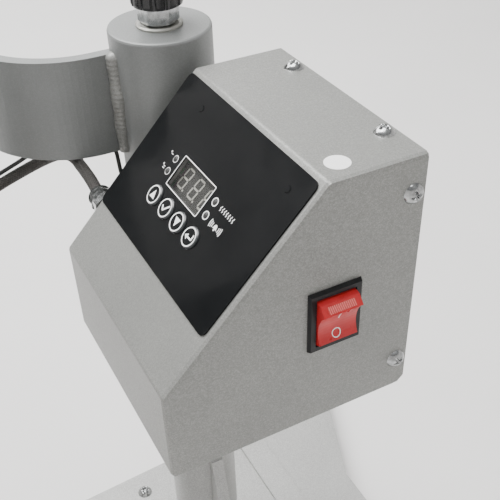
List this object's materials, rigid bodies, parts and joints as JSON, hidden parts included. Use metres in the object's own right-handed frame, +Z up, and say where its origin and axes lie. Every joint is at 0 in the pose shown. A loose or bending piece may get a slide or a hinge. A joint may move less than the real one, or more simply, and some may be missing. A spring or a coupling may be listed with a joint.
{
  "type": "cap heat press",
  "caption": "Swing-away cap heat press: curved heating platen on a lever-driven shaft, curved lower form on a stand column, control box beside the pivot sleeve, flat base plate on rubber feet.",
  "frame": {"origin": "centre of the bench bolt pattern, at the underside of the base plate", "axes": "+Z up along the pivot post, -Y to the front where the operator stands, +X to the operator's right"},
  "size_m": [0.316, 0.51, 0.7219],
  "materials": {
    "grey_paint": "fine sparkle powder coat",
    "zinc": "bright zinc plate",
    "steel": "ground steel",
    "bronze": "sintered bronze",
    "black_plastic": "satin",
    "gloss_panel": "gloss film",
    "display": "smoked window",
    "lamp": "clear lens",
    "circuit_board": "solder mask",
    "red_plastic": "translucent gloss",
    "black_rubber": "matt",
    "braid": "woven glass fibre sleeve",
    "silicone": "sponge silicone",
    "insulation": "ceramic fibre",
    "mica": "mica sheet",
    "platen": "non-stick coated"
  },
  "bodies": {
    "base": {"base_plate": "grey_paint", "cross_bar": "grey_paint", "rubber_feet": "black_rubber", "foot_screws": "zinc", "pivot_post": "grey_paint", "post_gussets": "grey_paint", "stand_column": "grey_paint", "stand_stem": "zinc", "form_base": "grey_paint", "form_ribs": "grey_paint", "cap_form": "grey_paint", "silicone_pad": "silicone"},
    "swing_pad": {"thrust_pad": "bronze"},
    "height_adjuster": {"height_screw": "zinc", "lock_nut": "zinc", "height_knob": "black_plastic"},
    "arm": {"pivot_sleeve": "grey_paint", "screw_washer": "zinc", "arm_strap": "grey_paint", "head_barrel": "grey_paint", "shaft_bushings": "bronze", "head_cheeks": "grey_paint", "fulcrum_pin": "steel", "return_spring": "steel", "box_bracket": "grey_paint", "box_housing": "grey_paint", "rear_cover": "grey_paint", "bottom_cover": "grey_paint", "housing_screws": "zinc", "overlay_panel": "gloss_panel", "display_window": "display", "indicator_lamps": "lamp", "control_board": "circuit_board", "board_standoffs": "zinc", "power_relay": "black_plastic", "rocker_bezel": "black_plastic", "cable_gland": "zinc", "mains_gland": "black_plastic", "heater_cable": "braid", "sensor_lead": "black_rubber", "lead_grommet": "black_rubber"},
    "lever": {"lever_plates": "grey_paint", "crank_pin": "steel", "handle_rod": "zinc", "handle_grip": "black_rubber"},
    "press_head": {"press_shaft": "steel", "shaft_head": "steel", "platen_bracket": "grey_paint", "platen_studs": "zinc", "platen_cover": "grey_paint", "insulation_pad": "insulation", "heating_element": "mica", "heating_platen": "platen", "head_gland": "zinc"},
    "stand_knob": {"stand_knob": "black_plastic"},
    "power_rocker": {"power_rocker": "red_plastic"},
    "up_button": {"up_button": "black_plastic"},
    "set_button": {"set_button": "black_plastic"},
    "down_button": {"down_button": "black_plastic"},
    "enter_button": {"enter_button": "black_plastic"}
  },
  "joints": [
    {"name": "arm_swing", "type": "hinge", "parent": "base", "child": "swing_pad", "pos_m": [0, 0.07, 0.4], "axis": [0, 0, 1], "range_deg": [-110, 110]},
    {"name": "height_turn", "type": "hinge", "parent": "swing_pad", "child": "height_adjuster", "pos_m": [0, 0.07, 0.48], "axis": [0, 0, 1], "range_deg": [0, 1920]},
    {"name": "arm_lift", "type": "slide", "parent": "swing_pad", "child": "arm", "axis": [0, 0, 1], "range_m": [-0.008, 0]},
    {"name": "lever_turn", "type": "hinge", "parent": "arm", "child": "lever", "pos_m": [0, -0.12496, 0.5012], "axis": [1, 0, 0], "range_deg": [0, 75]},
    {"name": "press_slide", "type": "slide", "parent": "arm", "child": "press_head", "axis": [0, 0, -1], "range_m": [0, 0.0342], "stiffness_N_per_m": 900, "springref_m": -0.06, "deforming": ["return_spring", "heater_cable", "sensor_lead"]},
    {"name": "stand_clamp_turn", "type": "hinge", "parent": "base", "child": "stand_knob", "pos_m": [0.04, -0.15, 0.17], "axis": [1, 0, 0], "range_deg": [0, 360]},
    {"name": "power_switch", "type": "hinge", "parent": "arm", "child": "power_rocker", "pos_m": [0.1493, 0.0752, 0.3822], "axis": [0, -1, 0], "range_deg": [0, 20]},
    {"name": "up_button_press", "type": "slide", "parent": "arm", "child": "up_button", "axis": [0, 0.7143, -0.6998], "range_m": [0, 0.0005], "stiffness_N_per_m": 400, "springref_m": -0.002},
    {"name": "set_button_press", "type": "slide", "parent": "arm", "child": "set_button", "axis": [0, 0.7143, -0.6998], "range_m": [0, 0.0005], "stiffness_N_per_m": 400, "springref_m": -0.002},
    {"name": "down_button_press", "type": "slide", "parent": "arm", "child": "down_button", "axis": [0, 0.7143, -0.6998], "range_m": [0, 0.0005], "stiffness_N_per_m": 400, "springref_m": -0.002},
    {"name": "enter_button_press", "type": "slide", "parent": "arm", "child": "enter_button", "axis": [0, 0.7143, -0.6998], "range_m": [0, 0.0005], "stiffness_N_per_m": 400, "springref_m": -0.002}
  ],
  "couplings": [
    {"joint": "press_slide", "follows": "lever_turn", "m_per_rad": 0.025974},
    {"joint": "height_turn", "follows": "arm_lift", "rad_per_m": -4188.8}
  ]
}
